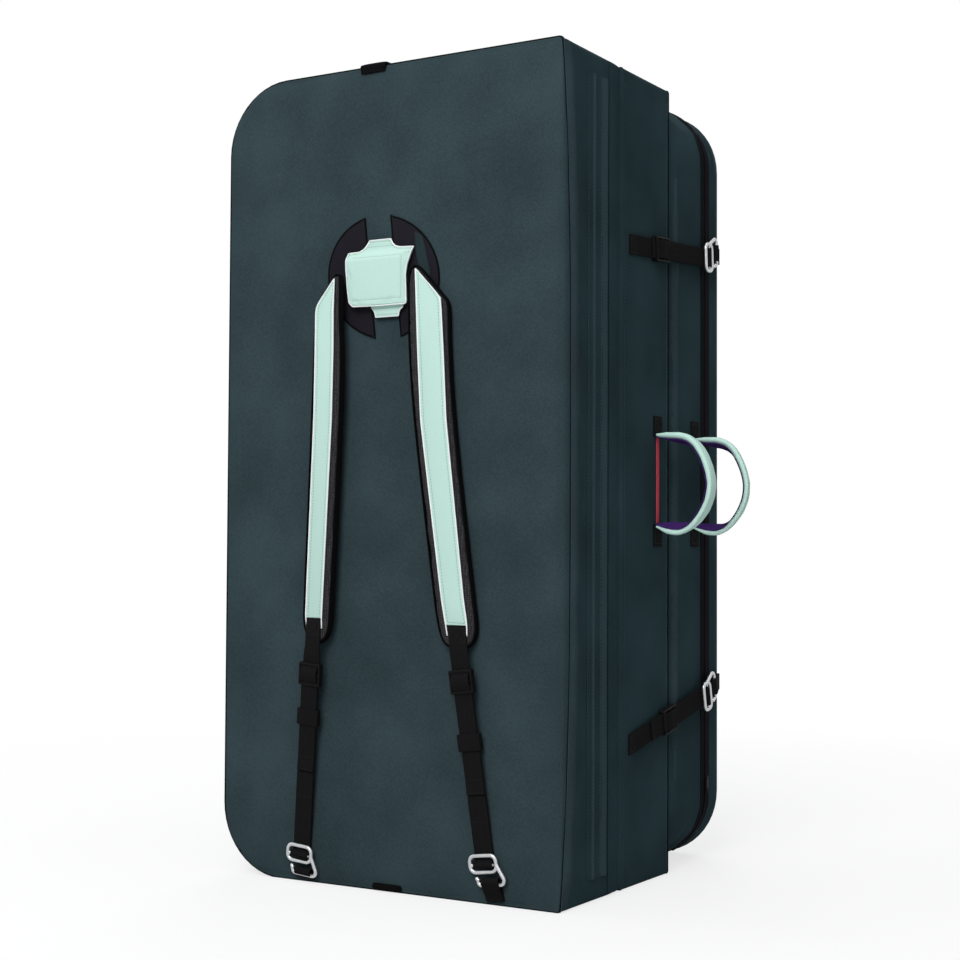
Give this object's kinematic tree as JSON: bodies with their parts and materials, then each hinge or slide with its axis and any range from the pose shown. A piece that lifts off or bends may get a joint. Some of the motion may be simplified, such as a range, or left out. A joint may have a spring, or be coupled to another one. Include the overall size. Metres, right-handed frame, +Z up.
{
  "type": "bouldering crash pad",
  "caption": "Folding foam landing pad for bouldering, in hinged fabric-covered panels with a shoulder harness, hook closure straps and side carry handles.",
  "frame": {"origin": "middle of the centre panel's base, on the floor", "axes": "+Z up along the pad's height, -Y out of the face with the shoulder harness, +X towards the first fold and the carry handles"},
  "size_m": [0.5824, 0.4733, 1.0106],
  "materials": {
    "cover_fabric": "coated heavy woven fabric, matt",
    "closed_cell_foam": "closed-cell sheet",
    "open_cell_foam": "open-cell block",
    "webbing": "flat woven webbing",
    "mint_fabric": "smooth woven fabric",
    "purple_lining": "thin woven lining",
    "spacer_mesh": "knitted spacer mesh",
    "black_plastic": "moulded, satin",
    "zip_chain": "woven tape with a coil chain",
    "aluminium": "bent bar, bead blasted"
  },
  "bodies": {
    "centre_panel": {"centre_cover": "cover_fabric", "centre_landing_foam": "closed_cell_foam", "centre_core_foam": "open_cell_foam", "centre_zip": "zip_chain", "centre_handle_base": "webbing", "front_fold_gusset": "cover_fabric", "rear_fold_gusset": "cover_fabric"},
    "carry_panel": {"carry_cover": "cover_fabric", "carry_landing_foam": "closed_cell_foam", "carry_core_foam": "open_cell_foam", "carry_zip": "zip_chain", "front_fold_strip": "cover_fabric", "harness_patch_left": "webbing", "harness_patch_right": "webbing", "harness_yoke": "mint_fabric", "top_edge_tab": "webbing", "bottom_edge_tab": "webbing", "left_shoulder_anchor_loop": "webbing", "right_shoulder_anchor_loop": "webbing", "left_upper_closure_loop": "webbing", "left_lower_closure_loop": "webbing"},
    "rear_panel": {"rear_cover": "cover_fabric", "rear_landing_foam": "closed_cell_foam", "rear_core_foam": "open_cell_foam", "rear_zip": "zip_chain", "rear_fold_strip": "cover_fabric", "rear_handle_base": "webbing", "right_upper_closure_loop": "webbing", "right_lower_closure_loop": "webbing"},
    "carry_zip_pull": {"carry_zip_slider": "black_plastic"},
    "centre_zip_pull": {"centre_zip_slider": "black_plastic"},
    "rear_zip_pull": {"rear_zip_slider": "black_plastic"},
    "left_shoulder": {"left_shoulder_strap_pad": "spacer_mesh", "left_shoulder_strap_facing": "mint_fabric", "left_shoulder_webbing": "webbing", "left_shoulder_hook": "aluminium"},
    "right_shoulder": {"right_shoulder_strap_pad": "spacer_mesh", "right_shoulder_strap_facing": "mint_fabric", "right_shoulder_webbing": "webbing", "right_shoulder_hook": "aluminium"},
    "left_lock": {"left_shoulder_ladder_lock": "black_plastic"},
    "right_lock": {"right_shoulder_ladder_lock": "black_plastic"},
    "left_keeper": {"left_shoulder_keeper": "webbing"},
    "right_keeper": {"right_shoulder_keeper": "webbing"},
    "right_upper_closure": {"right_upper_closure_webbing": "webbing", "right_upper_closure_hook": "aluminium"},
    "right_lower_closure": {"right_lower_closure_webbing": "webbing", "right_lower_closure_hook": "aluminium"},
    "left_upper_closure": {"left_upper_closure_webbing": "webbing", "left_upper_closure_hook": "aluminium"},
    "left_lower_closure": {"left_lower_closure_webbing": "webbing", "left_lower_closure_hook": "aluminium"},
    "right_upper_adjuster": {"right_upper_closure_slider": "black_plastic"},
    "right_lower_adjuster": {"right_lower_closure_slider": "black_plastic"},
    "left_upper_adjuster": {"left_upper_closure_slider": "black_plastic"},
    "left_lower_adjuster": {"left_lower_closure_slider": "black_plastic"},
    "centre_handle": {"centre_handle_grip": "mint_fabric", "centre_handle_lining": "purple_lining"},
    "rear_handle": {"rear_handle_grip": "mint_fabric", "rear_handle_lining": "purple_lining"}
  },
  "joints": [
    {"name": "front_fold", "type": "hinge", "parent": "centre_panel", "child": "carry_panel", "pos_m": [0.2505, -0.06925, 0.5], "axis": [0, 0, 1], "range_deg": [0, 180], "deforming": ["front_fold_gusset", "left_upper_closure_loop", "left_lower_closure_loop", "centre_handle_grip", "centre_handle_lining"]},
    {"name": "rear_fold", "type": "hinge", "parent": "centre_panel", "child": "rear_panel", "pos_m": [-0.2505, 0.06925, 0.5], "axis": [0, 0, 1], "range_deg": [0, 180], "deforming": ["rear_fold_gusset", "right_upper_closure_loop", "right_lower_closure_loop"]},
    {"name": "left_shoulder_swing", "type": "hinge", "parent": "carry_panel", "child": "left_shoulder", "pos_m": [-0.1115, -0.2394, 0.75], "axis": [-0.9877, 0.1564, 0], "range_deg": [0, 110], "deforming": ["left_shoulder_anchor_loop"]},
    {"name": "right_shoulder_swing", "type": "hinge", "parent": "carry_panel", "child": "right_shoulder", "pos_m": [0.048, -0.2394, 0.75], "axis": [-1, 0, 0], "range_deg": [0, 110], "deforming": ["right_shoulder_anchor_loop"]},
    {"name": "left_lock_slide", "type": "slide", "parent": "left_shoulder", "child": "left_lock", "axis": [-0.0944, 0.0643, -0.9935], "range_m": [-0.005, 0.014]},
    {"name": "right_lock_slide", "type": "slide", "parent": "right_shoulder", "child": "right_lock", "axis": [0.124, 0.0539, -0.9908], "range_m": [-0.005, 0.014]},
    {"name": "left_keeper_slide", "type": "slide", "parent": "left_shoulder", "child": "left_keeper", "axis": [-0.0944, 0.0643, -0.9935], "range_m": [-0.012, 0.045]},
    {"name": "right_keeper_slide", "type": "slide", "parent": "right_shoulder", "child": "right_keeper", "axis": [0.124, 0.0539, -0.9908], "range_m": [-0.02, 0.04]},
    {"name": "right_upper_closure_swing", "type": "hinge", "parent": "centre_panel", "child": "right_upper_closure", "pos_m": [0.2447, -0.0485, 0.7845], "axis": [0, 0, 1], "range_deg": [-120, 0], "deforming": ["right_upper_closure_loop"]},
    {"name": "right_lower_closure_swing", "type": "hinge", "parent": "centre_panel", "child": "right_lower_closure", "pos_m": [0.2447, -0.0485, 0.173], "axis": [0, 0, 1], "range_deg": [-120, 0], "deforming": ["right_lower_closure_loop"]},
    {"name": "left_upper_closure_swing", "type": "hinge", "parent": "centre_panel", "child": "left_upper_closure", "pos_m": [-0.2447, 0.0485, 0.7845], "axis": [0, 0, 1], "range_deg": [-120, 0], "deforming": ["left_upper_closure_loop"]},
    {"name": "left_lower_closure_swing", "type": "hinge", "parent": "centre_panel", "child": "left_lower_closure", "pos_m": [-0.2447, 0.0485, 0.173], "axis": [0, 0, 1], "range_deg": [-120, 0], "deforming": ["left_lower_closure_loop"]},
    {"name": "right_upper_adjuster_slide", "type": "slide", "parent": "right_upper_closure", "child": "right_upper_adjuster", "axis": [0.0167, 0.998, 0.061], "range_m": [-0.02, 0.08]},
    {"name": "right_lower_adjuster_slide", "type": "slide", "parent": "right_lower_closure", "child": "right_lower_adjuster", "axis": [0.0167, 0.9773, 0.2113], "range_m": [-0.045, 0.055]},
    {"name": "left_upper_adjuster_slide", "type": "slide", "parent": "left_upper_closure", "child": "left_upper_adjuster", "axis": [-0.0194, -0.9979, 0.061], "range_m": [-0.02, 0.055]},
    {"name": "left_lower_adjuster_slide", "type": "slide", "parent": "left_lower_closure", "child": "left_lower_adjuster", "axis": [-0.0194, -0.9772, 0.2113], "range_m": [-0.045, 0.03]},
    {"name": "carry_zip_slide", "type": "slide", "parent": "carry_panel", "child": "carry_zip_pull", "axis": [0, 0, 1], "range_m": [0, 0.78]},
    {"name": "centre_zip_slide", "type": "slide", "parent": "centre_panel", "child": "centre_zip_pull", "axis": [-1, 0, 0], "range_m": [0, 0.31]},
    {"name": "rear_zip_slide", "type": "slide", "parent": "rear_panel", "child": "rear_zip_pull", "axis": [0, 0, 1], "range_m": [0, 0.785]},
    {"name": "centre_handle_swing", "type": "hinge", "parent": "centre_panel", "child": "centre_handle", "pos_m": [0.2447, 0.032, 0.496], "axis": [0, 0, 1], "range_deg": [-60, 60], "deforming": ["centre_handle_grip", "centre_handle_lining"]},
    {"name": "rear_handle_swing", "type": "hinge", "parent": "rear_panel", "child": "rear_handle", "pos_m": [0.2447, 0.1445, 0.496], "axis": [0, 0, 1], "range_deg": [-60, 60], "deforming": ["rear_handle_grip", "rear_handle_lining"]}
  ]
}
